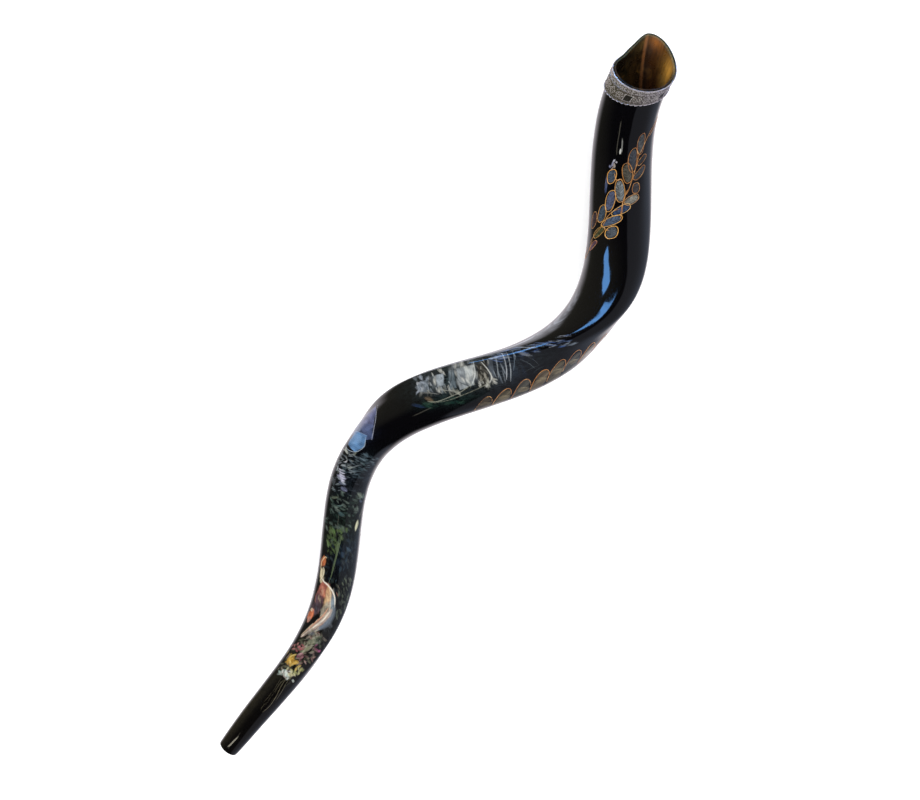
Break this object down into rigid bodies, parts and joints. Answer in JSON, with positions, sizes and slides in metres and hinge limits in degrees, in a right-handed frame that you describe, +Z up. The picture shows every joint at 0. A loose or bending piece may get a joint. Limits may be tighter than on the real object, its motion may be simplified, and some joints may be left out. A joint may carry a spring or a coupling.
{
  "type": "shofar",
  "caption": "Long open-spiral antelope-horn shofar, black lacquered and hand painted, with a natural bore, a keeled flared bell and an embossed silver sleeve round its rim.",
  "frame": {"origin": "bottom centre of the bounding box, with the shofar lying on a flat surface in its stable pose", "axes": "+X along the spiral's axis from the mouthpiece to the bell, +Z up, the bell's mouth looking up and forward"},
  "size_m": [0.812, 0.1574, 0.1385],
  "materials": {
    "lacquered_horn": "high-gloss black lacquer over horn",
    "natural_horn": "bare horn inside the bell, smooth and half glossy",
    "silver": "silver plate with dark patina in its relief",
    "bedding_adhesive": "cured adhesive",
    "gold_liner": "raised gold paint line",
    "brush_paint": "brushed artist's paint in many colours, under clear lacquer"
  },
  "bodies": {
    "root": {"horn_body": "lacquered_horn", "sleeve_adhesive_bed": "bedding_adhesive", "bell_sleeve": "silver", "sleeve_rim_bead": "silver", "sleeve_frieze_bead": "silver", "sleeve_scalloped_hem": "silver"}
  },
  "joints": []
}
